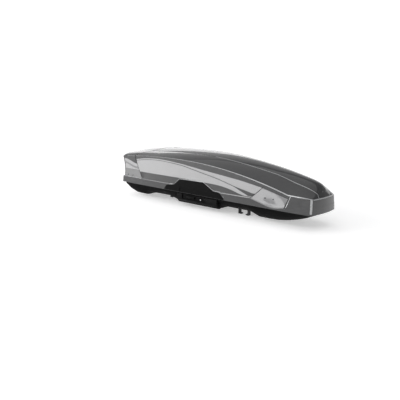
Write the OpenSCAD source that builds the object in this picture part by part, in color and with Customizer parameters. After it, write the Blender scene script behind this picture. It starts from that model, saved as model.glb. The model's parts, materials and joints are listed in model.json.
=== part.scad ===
// Roof cargo box: a tapered hard-shell box that opens from either side and clamps to two roof bars.
// +X points to the nose, +Y to the left side, +Z up. The origin is under the middle of the box,
// level with the tips of the clamp jaws.

/* [Box] */
// Overall length
box_l = 1890; // [1600:10:2300]
// Overall width, at the rear
box_w = 675; // [600:5:900]
// Height of the lid's lower edge above the jaw tips
edge_z = 120; // [110:1:140]
// Wall thickness of the lid
lid_t = 4; // [3:0.5:6]
// Wall thickness of the base
base_t = 4; // [3:0.5:6]
// Width at the crease where the nose begins
crease_w = 364; // [340:2:420]
// Distance from the front edge back to that crease
crease_back = 235; // [200:5:300]
// Width of the blunt front face
nose_w = 302; // [260:2:330]
// How far the front face bulges forward
nose_bulge = 18; // [8:1:30]
// How far the rear face bulges backward
rear_bulge = 3; // [2:1:14]

/* [Lid] */
// Highest point of the side's top edge above the lower edge
side_h = 257; // [230:1:280]
// Height of the side's top edge at the rear corner
rear_h = 213; // [190:1:225]
// Height of the nose's top edge
nose_h = 115; // [100:1:130]
// Highest point of the roof above the lower edge
crown_h = 312; // [300:1:340]
// Height of the roof at the rear edge
tail_h = 243; // [235:1:270]
// Height of the flange band along the lower edge
band_h = 50; // [40:1:60]
// How far the side's top edge leans inward at the rear
lean = 38; // [25:1:50]
// Share of that lean left at the crease where the nose begins
nose_lean = 0.5; // [0.3:0.05:1]

/* [Base] */
// Height of the flat underside above the jaw tips
belly_z = 23; // [18:1:30]
// Height of the underside where it sits on a roof bar
saddle_z = 52; // [46:1:58]
// Place of the rear roof bar along the box
rear_bar_x = -505; // [-540:5:-470]
// Place of the front roof bar along the box
front_bar_x = 270; // [250:5:290]
// Height of the rim above the lid's lower edge
rim_up = 2; // [1:0.5:3]
// Inset of the rim from the lid's lower edge
rim_in = 17; // [16:0.5:20]

/* [Hinges] */
// Inset of each hinge axis from the lid's lower edge, and its height above that edge
axis_in = 14; // [13:0.5:15]
// Radius of the hinge pins
pin_r = 5; // [4:0.5:5]
// Radial clearance of pins in their bores
fit = 0.06; // [0.03:0.01:0.1]
// Distance between neighbouring hinge stations along a side
station_pitch = 530; // [480:10:560]
// Place of the middle hinge station, measured along the box
station_x = -120; // [-160:10:-80]

/* [Locks] */
// Stroke of the lock bar
lock_stroke = 20; // [16:1:22]
// Length of the lock housing below the handle
housing_l = 400; // [360:5:420]
// Place of the lock housing's middle along the box
housing_x = -95; // [-110:5:-80]
// Radius of the key cylinder
key_r = 9; // [7:0.5:10]

/* [Lifters] */
// Place of the rear lifter along the box
rear_lifter_x = -790; // [-800:5:-770]
// Place of the front lifter along the box
front_lifter_x = 540; // [520:5:560]
// Radius of the sliding pin at an arm's end
slide_pin_r = 3; // [2.5:0.25:3.25]

/* [Clamps] */
// Distance of each clamp from the middle plane
clamp_y = 90; // [80:1:92]
// Gap between closed jaws, which takes an 80 mm roof bar
jaw_gap = 82; // [70:1:84]
// Travel of each jaw
jaw_travel = 12; // [8:1:12]
// Radius of the clamp spindle
spindle_r = 5; // [4:0.5:6]
// Radius of the clamp knob
knob_r = 22; // [18:1:22]

/* [Hidden] */
$fn = 40;

x_rear = -box_l / 2;
x_nose = box_l / 2;
x_crease = x_nose - crease_back;
// The straight side runs from the rear corner to the crease and closes towards the nose.
taper = (box_w - crease_w) / 2 / (x_crease - x_rear);
taper_deg = atan(taper);
axis_z = edge_z + axis_in;
rim_z = edge_z + rim_up;
bars = [rear_bar_x, front_bar_x];

// ---- Plan outline -------------------------------------------------------------------------

// Half-width of the lower edge at a place along the straight side.
function side_y(x) = box_w / 2 - taper * (x - x_rear);

// A quadratic curve from a to b that bends at k.
function bend(a, k, b, t) = (1 - t) * (1 - t) * a + 2 * t * (1 - t) * k + t * t * b;

// Steps along a side and across an end, and steps in half a corner.
side_steps = 30;
end_steps = 16;
arc_steps = 3;
ring_n = 2 * side_steps + 2 * end_steps;
rear_corner_r = 22;
nose_corner_r = 16;

// Sharp corners of the outline with the given insets at rear side, front side, rear and nose.
function rear_corner(s, r) = [x_rear + rear_bulge + r, side_y(x_rear) - s];
function crease_corner(s) = [x_crease, side_y(x_crease) - s];
function nose_corner(s, n) = [x_nose - nose_bulge - n, nose_w / 2 - s * 0.45 - n * 0.3];

// Unit vector from a to b.
function towards(a, b) = (b - a) / norm(b - a);

// Point i of the near side, from the middle of the rear corner to the middle of the nose corner.
// y is positive here and the right side mirrors it. The inset is s at the rear and f in front.
function side_point(i, s, f, r, n) =
    let (k0 = rear_corner(s, r), k1 = crease_corner(f), k2 = nose_corner(f, n))
    let (r0 = k0 + towards(k0, [k0.x, 0]) * rear_corner_r, r1 = k0 + towards(k0, k1) * rear_corner_r)
    let (n0 = k2 - towards(k1, k2) * nose_corner_r, n1 = k2 + [nose_cut, -nose_corner_r])
    i <= arc_steps ? bend(r0, k0, r1, 0.5 + 0.5 * i / arc_steps)
    : i >= side_steps - arc_steps
        ? bend(n0, k2, n1, 0.5 * (i - side_steps + arc_steps) / arc_steps)
    : let (u = (i - arc_steps) / (side_steps - 2 * arc_steps), m = 0.8)
        u < m ? r1 + (k1 - r1) * u / m : k1 + (n0 - k1) * (u - m) / (1 - m);

// y of step j across a station: from the edge at w over a first step at f, then to the roof
// crease at c and on to the middle plane. The crease lies at step crease_j.
crease_j = 5;
half_j = end_steps / 2;
function across(j, w, f, c) =
    j > half_j ? -across(end_steps - j, w, f, c)
    : j == 0 ? w
    : j <= crease_j ? f + (c - f) * (j - 1) / (crease_j - 1)
    : c * (half_j - j) / (half_j - crease_j);

// The outline with the given insets, as points [x, y], anticlockwise from the rear right corner.
nose_cut = 3;
function outline(s, f, r, n) =
    let (kr = rear_corner(s, r), kn = nose_corner(f, n), fr = kr.y - rear_corner_r)
    let (fn = kn.y - nose_corner_r, cr = roof_crease_y(x_rear), cn = roof_crease_y(x_nose))
    concat(
        [for (i = [0:side_steps]) let (p = side_point(i, s, f, r, n)) [p.x, -p.y]],
        [for (j = [1:end_steps - 1])
            let (y = -across(j, kn.y, fn, cn))
            [kn.x + nose_cut + (nose_bulge - nose_cut) * (1 - pow(y / fn, 2)), y]],
        [for (i = [side_steps:-1:0]) side_point(i, s, f, r, n)],
        [for (j = [1:end_steps - 1])
            let (y = across(j, kr.y, fr, cr))
            [kr.x - rear_bulge * (1 - pow(y / fr, 2)), y]]
    );

// ---- Lid surface --------------------------------------------------------------------------

// Height of the side's top edge above the lower edge.
peak_x = -300;
nose_x = x_crease + 20;
function edge_top(x) =
    x < peak_x ? side_h - (side_h - rear_h) * pow((peak_x - x) / (peak_x - x_rear), 2)
    : x < nose_x ? side_h - (side_h - nose_h) * pow((x - peak_x) / (nose_x - peak_x), 2.1)
    : nose_h;

// Height of the roof along the middle plane: a gentle fall, then a steep one at the nose.
nose_fall = 87;
function crown(x) =
    x < 0 ? crown_h - (crown_h - tail_h) * pow(x / x_rear, 2)
    : let (t = min(1, x / x_nose))
        crown_h - (crown_h - nose_h - nose_fall) * pow(t, 1.8) - nose_fall * pow(t, 26);

// Distance of the roof crease from the middle plane.
function roof_crease_y(x) =
    let (bend_x = 650)
    x < bend_x ? 125 - 30 * (x + 800) / 1450 : 95 - 45 * pow((x - bend_x) / (x_nose - bend_x), 6);

// A smooth step from 0 to 1, and the share of the squarer shape that the rear cap has.
function ramp(t) = let (u = max(0, min(1, t))) u * u * (3 - 2 * u);
function rear_cap(x) = ramp((-600 - x) / 300);

// Rise of the middle panel above its creases.
function dome(x) =
    (12 - 6 * rear_cap(x) + 13 * ramp((x + 200) / 700) + 13 * ramp((x - 560) / 220))
        * (1 - pow(max(0, x) / x_nose, 30));

// How square the shoulder between side edge and roof crease is.
function shoulder(x) = 1.3 + pow(max(0, 600 - x) / 1545, 2) + 1.7 * rear_cap(x);

// Height of the roof at x and y, where w is the half-width of its edge.
function roof_z(x, y, w) =
    let (c = roof_crease_y(x), a = abs(y), top = crown(x) - dome(x), low = min(edge_top(x), top))
    a <= c ? top + dome(x) * (1 - pow(a / c, 2))
    : low + (top - low) * (1 - pow(min(1, (a - c) / max(1, w - c)), shoulder(x)));

// Wall levels: [share of the height above the band, side inset, rear inset, nose inset].
// The first two rows, with share below 0, are the band and use their own heights.
lid_levels = [
    [-1, 0, 25, 0],
    [-1, 2, 27, 0],
    [0, 5, 46, 1],
    [0.3, 11, 38, 2],
    [0.82, 24, 13, 3],
    [0.95, 31, 3, 4],
    [1, lean, 0, 8]
];
band_step = 4;

// Top of the wall at an outline point of the top level.
function wall_top(p) =
    let (rear = p.x < x_rear + 20 + rear_bulge && abs(p.y) < box_w / 2 - 60)
    rear ? roof_z(p.x, p.y, box_w / 2 - lean) : edge_top(p.x);

// Points of wall level k, moved inward by t.
function lid_ring(k, t) =
    let (v = lid_levels[k], ring = outline(v[1] + t, v[1] * nose_lean + t, v[2] + t, v[3] + t))
    [for (p = ring)
        let (low = band_h + band_step, top = wall_top(p) - (k == len(lid_levels) - 1 ? t : 0))
        [p.x, p.y, edge_z + (k == 0 ? 0 : k == 1 ? band_h : low + (top - low) * v[0])]];

// Inner points of the roof grid, lowered by t.
function roof_grid(t) =
    let (v = lid_levels[len(lid_levels) - 1])
    [for (i = [1:side_steps - 1])
        let (e = side_point(i, v[1] + t, v[1] * nose_lean + t, v[2] + t, v[3] + t))
        let (c = min(roof_crease_y(e.x), e.y - 25))
        let (first = e.y - 20 + 9 * (e.x - x_rear) / box_l)
        for (j = [1:end_steps - 1])
            let (y = -across(j, e.y, first, c))
            [e.x, y, edge_z + roof_z(e.x, y, e.y) - t * 1.2]];

// ---- Shell meshes -------------------------------------------------------------------------

// A shell is made of rings of ring_n points, then a grid that closes the last ring.
// off is the index of its first point and flip turns the faces over for the inner skin.
function quad(a, b, c, d, flip) = flip ? [[a, c, b], [a, d, c]] : [[a, b, c], [a, c, d]];
function ring_faces(rings, off, flip) =
    [for (k = [0:rings - 2], i = [0:ring_n - 1])
        let (n = (i + 1) % ring_n, a = off + k * ring_n, b = a + ring_n)
        each quad(a + i, b + i, b + n, a + n, flip)];

// Index of grid point i along and j across, counted from the last ring.
function grid_index(i, j, ring, grid) =
    j == 0 ? ring + i
    : j == end_steps ? ring + 2 * side_steps + end_steps - i
    : i == side_steps ? ring + side_steps + j
    : i == 0 ? ring + ring_n - j
    : grid + (i - 1) * (end_steps - 1) + j - 1;
function grid_faces(rings, off, flip) =
    let (ring = off + (rings - 1) * ring_n, grid = ring + ring_n)
    [for (i = [0:side_steps - 1], j = [0:end_steps - 1])
        each quad(grid_index(i, j, ring, grid), grid_index(i, j + 1, ring, grid),
            grid_index(i + 1, j + 1, ring, grid), grid_index(i + 1, j, ring, grid), flip)];

// A closed shell from an outer and an inner skin with the same layout.
module shell(outer_rings, outer_grid, inner_rings, inner_grid, up) {
    rings = len(outer_rings);
    outer = concat([for (r = outer_rings) each r], outer_grid);
    inner = concat([for (r = inner_rings) each r], inner_grid);
    n = len(outer);
    rim = [for (i = [0:ring_n - 1])
        each quad(i, (i + 1) % ring_n, n + (i + 1) % ring_n, n + i, !up)];
    faces = concat(
        ring_faces(rings, 0, !up), grid_faces(rings, 0, !up),
        ring_faces(rings, n, up), grid_faces(rings, n, up), rim
    );
    polyhedron(points = concat(outer, inner), faces = faces, convexity = 8);
}

module lid_shell() {
    last = len(lid_levels) - 1;
    color("#5c5e61")
        shell(
            [for (k = [0:last]) lid_ring(k, 0)], roof_grid(0),
            [for (k = [0:last]) lid_ring(k, lid_t)], roof_grid(lid_t), true
        );
}

module rivet_head(r, h) rotate([90, 0, 0]) cylinder(r = r, h = h, center = true);

// Local frame of a side: x along the lower edge, y inward from it, z up. side is -1 on the right.
module on_side(side, x) {
    mirror([0, side > 0 ? 1 : 0, 0])
        translate([x, -side_y(x), 0])
            rotate([0, 0, taper_deg])
                children();
}

// The three hinge stations of a side.
module at_stations(side) {
    on_side(side, station_x)
        for (k = [-1:1])
            translate([k * station_pitch, 0, 0])
                children();
}

// A box from low corner to high corner.
module block(low, high) translate(low) cube(high - low);

// A cylinder along x from x0 to x1, about the line at [y, z].
module rod(x0, x1, y, z, r) translate([x0, y, z]) rotate([0, 90, 0]) cylinder(r = r, h = x1 - x0);

// A profile in the side frame's y and z, drawn out from x0 to x1.
module along(x0, x1, profile) {
    translate([x0, 0, 0])
        rotate([90, 0, 90])
            linear_extrude(x1 - x0)
                polygon(profile);
}

// ---- Base ---------------------------------------------------------------------------------

// Underside height: flat, raised over each roof bar, and rising under the nose.
saddle_flat = 122;
saddle_ramp = 40;
nose_rise_x = 560;
function saddle(x, bar) =
    (saddle_z - belly_z) * ramp((saddle_flat + saddle_ramp - abs(x - bar)) / saddle_ramp);
function nose_rise(x) = 78 * pow(max(0, x - nose_rise_x) / 340, 1.8);
function belly(x) = belly_z + max(saddle(x, rear_bar_x), saddle(x, front_bar_x), nose_rise(x));

// Wall levels: [share of the depth, side inset, rear inset, nose inset].
rim_rear = 39;
rim_nose = 20;
base_levels = [
    [0, rim_in, rim_rear, rim_nose],
    [0.18, rim_in + 2, rim_rear + 4, rim_nose + 4],
    [0.6, rim_in + 19, rim_rear + 46, rim_nose + 18],
    [0.92, rim_in + 45, rim_rear + 88, rim_nose + 32],
    [1, rim_in + 65, rim_rear + 112, rim_nose + 40]
];

// The sides run parallel to the lid's lower edge, so the inset at the rear corner grows with the
// rear inset r there.
function parallel_in(s, r) = s + taper * (r + rear_bulge);
function base_ring(k, t) =
    let (v = base_levels[k], s = v[1] + t, r = v[2] + t)
    [for (p = outline(parallel_in(s, r), s, r, v[3] + t))
        [p.x, p.y, rim_z - (rim_z - belly(p.x)) * v[0] + t * v[0]]];
function base_grid(t) =
    let (v = base_levels[len(base_levels) - 1], s = v[1] + t, r = v[2] + t)
    [for (i = [1:side_steps - 1])
        let (e = side_point(i, parallel_in(s, r), s, r, v[3] + t))
        for (j = [1:end_steps - 1])
            [e.x, -across(j, e.y, e.y - 10, e.y * 0.4), belly(e.x) + t]];

// Jaw slots, lever slots and key holes are cut through the shell.
slot_in = jaw_gap / 2 - 2;
slot_out = slot_in + jaw_travel + 14;
slot_half = 16;
module base_shell() {
    last = len(base_levels) - 1;
    color("#1b1c1e")
        difference() {
            shell(
                [for (k = [0:last]) base_ring(k, 0)], base_grid(0),
                [for (k = [0:last]) base_ring(k, base_t)], base_grid(base_t), false
            );
            for (bar = bars, side = [-1, 1], way = [-1, 1])
                translate([bar + way * (slot_in + slot_out) / 2, side * clamp_y, saddle_z])
                    cube([slot_out - slot_in, 2 * slot_half, 20], center = true);
            for (side = [-1, 1])
                on_side(side, housing_x) {
                    block([stem_x - lock_stroke - 3, 10, 82], [stem_x + stem_w + 3, 46, 96]);
                    translate([key_x, 10, key_z])
                        rotate([-90, 0, 0])
                            cylinder(r = key_shaft_r + 1, h = 40);
                }
        }
}

// Rubber seal on the rim.
seal_h = 3;
function seal_ring(inset, z) =
    let (s = rim_in + inset, r = rim_rear + inset)
    [for (p = outline(parallel_in(s, r), s, r, rim_nose + inset))
        [p.x, p.y, rim_z + z]];
module rim_seal() {
    inner = base_t - 0.5;
    points = concat(
        seal_ring(0.5, 0), seal_ring(0.5, seal_h), seal_ring(inner, seal_h), seal_ring(inner, 0)
    );
    faces = [for (k = [0:3], i = [0:ring_n - 1])
        let (n = (i + 1) % ring_n, a = k * ring_n, b = (k + 1) % 4 * ring_n)
        each quad(a + i, b + i, b + n, a + n, false)];
    color("#111214")
        polyhedron(points = points, faces = faces, convexity = 4);
}

// Two C-profile rails on the saddles.
rail_y = 40;
rail_w = 16;
rail_h = 6;
floor_z = saddle_z + base_t;
module rail_bar(side, x0, x1, half, z0, z1) {
    block([x0, side * rail_y - half, floor_z + z0], [x1, side * rail_y + half, floor_z + z1]);
}

module floor_rails() {
    color("#a9acb0")
        for (side = [-1, 1])
            difference() {
                rail_bar(side, -620, 400, rail_w / 2, 0, rail_h);
                rail_bar(side, -640, 420, 3, rail_h - 2, rail_h + 1);
                rail_bar(side, -640, 420, 6, 1.5, rail_h - 2);
            }
}

// Rubber pads under the saddles, between the jaws.
pad_t = 2;
module bar_pads() {
    color("#17181a")
        for (bar = bars, side = [-1, 1])
            translate([bar, side * clamp_y, saddle_z - pad_t / 2])
                cube([72, 40, pad_t], center = true);
}

// Cradles: an open cup under each hinge pin, carried by a bracket inside the rim.
cradle_x0 = -6;
cradle_x1 = 8;
cradle_in = 37;
foot_y = 24.8;
foot_z = 108;
hook_gap = 5.5;
bar_y0 = 30;
bar_y1 = 34;
bar_z0 = 112;
bar_z1 = 128;
module hinge_cradles(side) {
    color("#222326")
        at_stations(side)
            difference() {
                union() {
                    rod(cradle_x0, cradle_x1, axis_in, axis_z, 9);
                    along(cradle_x0, cradle_x1, [
                        [axis_in, axis_z - 8], [21.3, axis_z - 8], [21.3, rim_z - 0.5],
                        [foot_y, foot_z], [cradle_in, foot_z], [cradle_in, axis_z],
                        [axis_in, axis_z]
                    ]);
                }
                rod(cradle_x0 - 1, cradle_x1 + 1, axis_in, axis_z, pin_r + fit);
                block(
                    [cradle_x0 - 1, axis_in - pin_r - fit, axis_z],
                    [cradle_x1 + 1, axis_in + pin_r + fit, axis_z + 12]
                );
                block(
                    [cradle_x0 - 1, 0, axis_z + hook_gap],
                    [cradle_x1 + 1, cradle_in, axis_z + 12]
                );
                block(
                    [cradle_x0 - 1, bar_y0 - 0.5, bar_z0 - 0.5],
                    [cradle_x1 + 1, bar_y1 + 0.5, axis_z + 1]
                );
            }
}

// ---- Locks --------------------------------------------------------------------------------

// Places along the lock housing, from its middle.
stem_x = -76;
stem_w = 14;
key_x = 40;
key_z = 83;
key_shaft_r = 4;
recess_y = 14;
housing_top = edge_z - 13;

module lock_housing(side) {
    h = housing_l / 2;
    color("#1a1b1d")
        on_side(side, housing_x)
            difference() {
                along(-h, h, [
                    [6, housing_top], [6, 60], [24, 34], [52, 26],
                    [60, 30.5], [35, 62.3], [18.5, 103.5], [18.2, housing_top]
                ]);
                block([-150, 0, 68], [90, recess_y, housing_top + 1]);
                block([stem_x - lock_stroke - 3, 10, 82], [stem_x + stem_w + 3, 46, 96]);
                translate([key_x, 10, key_z])
                    rotate([-90, 0, 0])
                        cylinder(r = key_r + fit, h = 30);
            }
}

// The lock bar with a hook beside each hinge pin and a lug that the key's cam can block.
hook_x0 = 18;
hook_x1 = 28;
module lock_bar(side) {
    color("#8d9094") {
        on_side(side, station_x)
            block([-560, bar_y0, bar_z0], [570, bar_y1, bar_z1]);
        at_stations(side) {
            block([hook_x0, bar_y0, bar_z1], [hook_x1, bar_y1, axis_z + 6]);
            block([hook_x0, 8, axis_z + 6], [hook_x1, bar_y1, axis_z + 9.5]);
        }
    }
}

module slide_lever(side) {
    color("#2a2b2e")
        on_side(side, housing_x) {
            block([-120, 7, 76], [-20, recess_y - 0.2, 98]);
            block([stem_x, recess_y - 0.2, 84], [stem_x + stem_w, 42, 94]);
            block([stem_x, 38, 84], [stem_x + stem_w, 42, 126]);
            block([stem_x, bar_y1, 114], [stem_x + stem_w, 42, 126]);
            block([stem_x, 38, 114], [key_x + 12, 42, 126]);
            block([key_x + 8, 38, 97], [key_x + 12, 42, 126]);
        }
}

// Key cylinder, its shaft through the wall, and the cam inside.
module key_cylinder(side) {
    color("#c3c5c8")
        on_side(side, housing_x)
            translate([key_x, 0, key_z])
                difference() {
                    union() {
                        rotate([-90, 0, 0]) translate([0, 0, 8]) cylinder(r = key_r, h = 13);
                        rotate([-90, 0, 0]) translate([0, 0, 20]) cylinder(r = key_shaft_r, h = 22);
                        block([0, 38, -3], [15.5, 42, 3]);
                    }
                    block([-4, 7, -0.8], [4, 10, 0.8]);
                }
}

// ---- Lifters ------------------------------------------------------------------------------

// Distance of the hinge axes from the middle plane at a place along the box.
function axis_y(x) = side_y(x) - axis_in / cos(taper_deg);

arm_half = 5.5;
pivot_r = 4;
slot_r = slide_pin_r + 0.6;
module lifter_beam(x0) {
    half = side_y(x0) - 30;
    color("#55585c") {
        difference() {
            block([x0 - 24, -half, 96], [x0, half, 112]);
            block([x0 - 22, -half - 1, 94], [x0 - 2, half + 1, 110]);
        }
        difference() {
            block([x0 - 24, -12, 110], [x0 - 18, 12, axis_z + arm_half]);
            rod(x0 - 25, x0 - 17, 0, axis_z, pivot_r + fit);
        }
    }
}

module lifter_pivots() {
    color("#c3c5c8")
        for (x0 = [rear_lifter_x, front_lifter_x]) {
            rod(x0 - 27, x0 - 2.8, 0, axis_z, pivot_r);
            rod(x0 - 29, x0 - 24.1, 0, axis_z, 7);
            rod(x0 - 17.8, x0 - 16.2, 0, axis_z, 6);
        }
}

// An arm from the pivot to a sliding pin under the hinge axis of one side.
module lifter_arm(x0, side, x_from) {
    reach = axis_y(x0);
    color("#6d7074")
        difference() {
            union() {
                block(
                    [x_from, min(0, side * reach), axis_z - arm_half],
                    [x_from + 6, max(0, side * reach), axis_z + arm_half]
                );
                rod(x_from, x_from + 6, 0, axis_z, arm_half);
                rod(x_from, x_from + 6, side * reach, axis_z, arm_half);
                rod(x_from + 3, x0 + 16, side * reach, axis_z, slide_pin_r);
            }
            rod(x_from - 1, x_from + 7, 0, axis_z, pivot_r + fit);
        }
}

// A bow across the lid with the slot that the arms' pins slide in.
module lid_bow(x0) {
    reach = axis_y(x0);
    color("#6d7074")
        difference() {
            union() {
                block([x0 - 2, -reach - 7.5, axis_z - 6.5], [x0 + 2, reach + 7.5, axis_z + 6.5]);
                block([x0, -reach + 12, axis_z + 6.5], [x0 + 20, reach - 12, axis_z + 9]);
                for (side = [-1, 1])
                    translate([x0, side * reach, axis_z + 10])
                        cube([4, 13, 8], center = true);
            }
            block([x0 - 3, -reach, axis_z - slot_r], [x0 + 3, reach, axis_z + slot_r]);
            rod(x0 - 3, x0 + 3, -reach, axis_z, slot_r);
            rod(x0 - 3, x0 + 3, reach, axis_z, slot_r);
        }
}

// ---- Lid fittings -------------------------------------------------------------------------

beam_z = axis_z + 14;
module lid_beam(side) {
    color("#2c2d30")
        on_side(side, station_x)
            difference() {
                block([-700, 7, beam_z], [700, 19, beam_z + 18]);
                block([-701, 9, beam_z + 2], [701, 20, beam_z + 16]);
            }
}

// Ears that hang from the lid beam and hold the pins.
ear_x0 = -23;
ear_x1 = -17;
module hinge_brackets(side) {
    color("#8d9094")
        at_stations(side)
            difference() {
                union() {
                    rod(ear_x0, ear_x1, axis_in, axis_z, 8);
                    block([ear_x0, 7, axis_z], [ear_x1, 21, beam_z]);
                }
                rod(ear_x0 - 1, ear_x1 + 1, axis_in, axis_z, pin_r + fit);
            }
}

module hinge_pins(side) {
    color("#c3c5c8")
        at_stations(side) {
            rod(-27, 14, axis_in, axis_z, pin_r);
            rod(-27, ear_x0 - 0.2, axis_in, axis_z, 8);
            rod(ear_x1 + 0.2, -15.3, axis_in, axis_z, 7);
        }
}

// Outline of the black panel, along the side and above the lower edge.
panel_outline = [
    [-337, 2], [-307, 42], [-224, 54], [-173, 101], [65, 107], [168, 53], [229, 53], [280, 2]
];
module handle_panel(side) {
    color("#16171a")
        on_side(side, housing_x)
            difference() {
                translate([0, 14, edge_z])
                    rotate([90, 0, 0])
                        linear_extrude(22)
                            polygon(panel_outline);
                along(-400, 400, [
                    [-0.3, edge_z - 1], [-0.3, edge_z], [1.7, edge_z + 50], [4.7, edge_z + 54],
                    [8.5, edge_z + 116], [60, edge_z + 120], [60, edge_z - 1]
                ]);
                along(-400, 400, [
                    [-4.5, edge_z - 1], [-3, edge_z + 50], [3.5, edge_z + 112],
                    [-20, edge_z + 120], [-20, edge_z - 1]
                ]);
            }
}

// Rivet pairs: two on each side of the nose, two at each rear corner, two on top of the nose.
module shell_rivets() {
    color("#0e0f10") {
        for (side = [-1, 1]) {
            for (x = [547, 615])
                on_side(side, x) translate([0, 10, edge_z + 73]) rivet_head(4.5, 6);
            for (x = [-849, -793])
                on_side(side, x) translate([0, 7, edge_z + 67]) rivet_head(4.5, 6);
            translate([920, side * 20, edge_z + 154.5])
                rotate([0, 70, 0])
                    cylinder(r = 4.5, h = 8, center = true);
        }
    }
}

// ---- Clamps -------------------------------------------------------------------------------

spindle_z = floor_z + 24;
clamp_half = 80;
clamp_w = 30;
clamp_top = floor_z + 46;
jaw_x = jaw_gap / 2 + 5;

// The frame of one clamp: the knob points along local +x, towards the middle of the box.
module at_clamp(bar, side) {
    translate([bar, side * clamp_y, 0])
        mirror([bar > 0 ? 1 : 0, 0, 0])
            children();
}

module clamp_housing(bar, side) {
    color("#242528")
        at_clamp(bar, side)
            difference() {
                union() {
                    block([-clamp_half, -clamp_w, floor_z], [clamp_half, clamp_w, clamp_top]);
                    block([-60, -clamp_w - 10, floor_z], [60, clamp_w + 10, floor_z + 4]);
                }
                block(
                    [-clamp_half + 4, -clamp_w + 4, floor_z - 1],
                    [clamp_half - 4, clamp_w - 4, clamp_top - 4]
                );
                rod(-clamp_half - 1, clamp_half + 1, 0, spindle_z, spindle_r + fit);
                for (x = [-50, 50], y = [-clamp_w - 5, clamp_w + 5])
                    translate([x, y, floor_z - 1]) cylinder(r = 3.05, h = 6);
            }
}

module base_screws() {
    color("#b4b7ba")
        for (bar = bars, side = [-1, 1])
            at_clamp(bar, side)
                for (x = [-50, 50], y = [-clamp_w - 5, clamp_w + 5])
                    translate([x, y, floor_z]) {
                        cylinder(r = 3, h = 4);
                        translate([0, 0, 4]) cylinder(r = 4.8, h = 3);
                    }
}

module clamp_spindle(bar, side) {
    color("#c3c5c8")
        at_clamp(bar, side) {
            rod(-clamp_half - 6, clamp_half + 22, 0, spindle_z, spindle_r);
            rod(-clamp_half - 6, -clamp_half - 0.5, 0, spindle_z, 9);
            rod(clamp_half + 0.5, clamp_half + 3.5, 0, spindle_z, 9);
        }
}

module clamp_knob(bar, side) {
    x0 = clamp_half + 4;
    lobe_at = knob_r - 4;
    color("#3a3c40")
        at_clamp(bar, side)
            difference() {
                union() {
                    rod(x0, x0 + 24, 0, spindle_z, knob_r - 3);
                    for (k = [0:7])
                        rod(x0, x0 + 20, lobe_at * cos(45 * k), spindle_z + lobe_at * sin(45 * k), 4);
                }
                rod(x0 - 1, clamp_half + 22.5, 0, spindle_z, spindle_r + 0.02);
            }
}

// A jaw hangs from the spindle and hooks under the roof bar. way is 1 on the nose side.
module jaw(bar, side, way) {
    color("#2f3135")
        translate([bar + way * jaw_x, side * clamp_y, 0])
            mirror([way > 0 ? 0 : 1, 0, 0])
                difference() {
                    union() {
                        block([-9, -14, spindle_z - 14], [9, 14, spindle_z + 14]);
                        block([-5, -14, 0], [5, 14, spindle_z - 13]);
                        block([-23, -14, 0], [5, 14, 9]);
                    }
                    rod(-10, 10, 0, spindle_z, spindle_r + fit);
                }
}

// ---- Straps -------------------------------------------------------------------------------

// A strap lies across both rails and is tucked down outside them.
strap_w = 25;
strap_t = 2;
strap_end = rail_y + rail_w / 2 + 0.5;
strap_places = [-190, 60];
module strap(x) {
    top = floor_z + rail_h;
    color("#141516")
        along(x - strap_w / 2, x + strap_w / 2, [
            [-strap_end, top - 5], [-strap_end, top], [strap_end, top], [strap_end, top - 5],
            [strap_end + strap_t, top - 5], [strap_end + strap_t, top + strap_t],
            [-strap_end - strap_t, top + strap_t], [-strap_end - strap_t, top - 5]
        ]);
}

module strap_buckles() {
    z = floor_z + rail_h + strap_t;
    color("#1d1e20")
        for (x = strap_places)
            difference() {
                block([x - 18, -25, z], [x + 18, 25, z + 9]);
                block([x - 12, -30, z + 3], [x + 12, 8, z + 6]);
            }
}

base_shell();
rim_seal();
floor_rails();
base_screws();
bar_pads();
hinge_cradles(-1);  // hinge_cradles_right
hinge_cradles(1);  // hinge_cradles_left
lock_housing(-1);  // lock_housing_right
lock_housing(1);  // lock_housing_left
lifter_beam(front_lifter_x);  // lifter_beam_front
lifter_beam(rear_lifter_x);  // lifter_beam_rear
lifter_pivots();
strap(strap_places[1]);  // strap_front
strap(strap_places[0]);  // strap_rear
strap_buckles();
clamp_housing(front_bar_x, -1);  // clamp_housing_front_right
clamp_housing(front_bar_x, 1);  // clamp_housing_front_left
clamp_housing(rear_bar_x, -1);  // clamp_housing_rear_right
clamp_housing(rear_bar_x, 1);  // clamp_housing_rear_left
clamp_spindle(front_bar_x, -1);  // clamp_spindle_front_right
clamp_spindle(front_bar_x, 1);  // clamp_spindle_front_left
clamp_spindle(rear_bar_x, -1);  // clamp_spindle_rear_right
clamp_spindle(rear_bar_x, 1);  // clamp_spindle_rear_left
clamp_knob(front_bar_x, -1);  // clamp_knob_front_right
clamp_knob(front_bar_x, 1);  // clamp_knob_front_left
clamp_knob(rear_bar_x, -1);  // clamp_knob_rear_right
clamp_knob(rear_bar_x, 1);  // clamp_knob_rear_left
jaw(front_bar_x, -1, 1);  // jaw_fore_front_right
jaw(front_bar_x, 1, 1);  // jaw_fore_front_left
jaw(rear_bar_x, -1, 1);  // jaw_fore_rear_right
jaw(rear_bar_x, 1, 1);  // jaw_fore_rear_left
jaw(front_bar_x, -1, -1);  // jaw_aft_front_right
jaw(front_bar_x, 1, -1);  // jaw_aft_front_left
jaw(rear_bar_x, -1, -1);  // jaw_aft_rear_right
jaw(rear_bar_x, 1, -1);  // jaw_aft_rear_left
lock_bar(-1);  // lock_bar_right
lock_bar(1);  // lock_bar_left
slide_lever(-1);  // slide_lever_right
slide_lever(1);  // slide_lever_left
key_cylinder(-1);  // key_cylinder_right
key_cylinder(1);  // key_cylinder_left
lifter_arm(front_lifter_x, -1, front_lifter_x - 9);  // lifter_arm_a_front
lifter_arm(front_lifter_x, 1, front_lifter_x - 16);  // lifter_arm_b_front
lifter_arm(rear_lifter_x, -1, rear_lifter_x - 9);  // lifter_arm_a_rear
lifter_arm(rear_lifter_x, 1, rear_lifter_x - 16);  // lifter_arm_b_rear
hinge_pins(-1);  // hinge_pins_right
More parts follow.
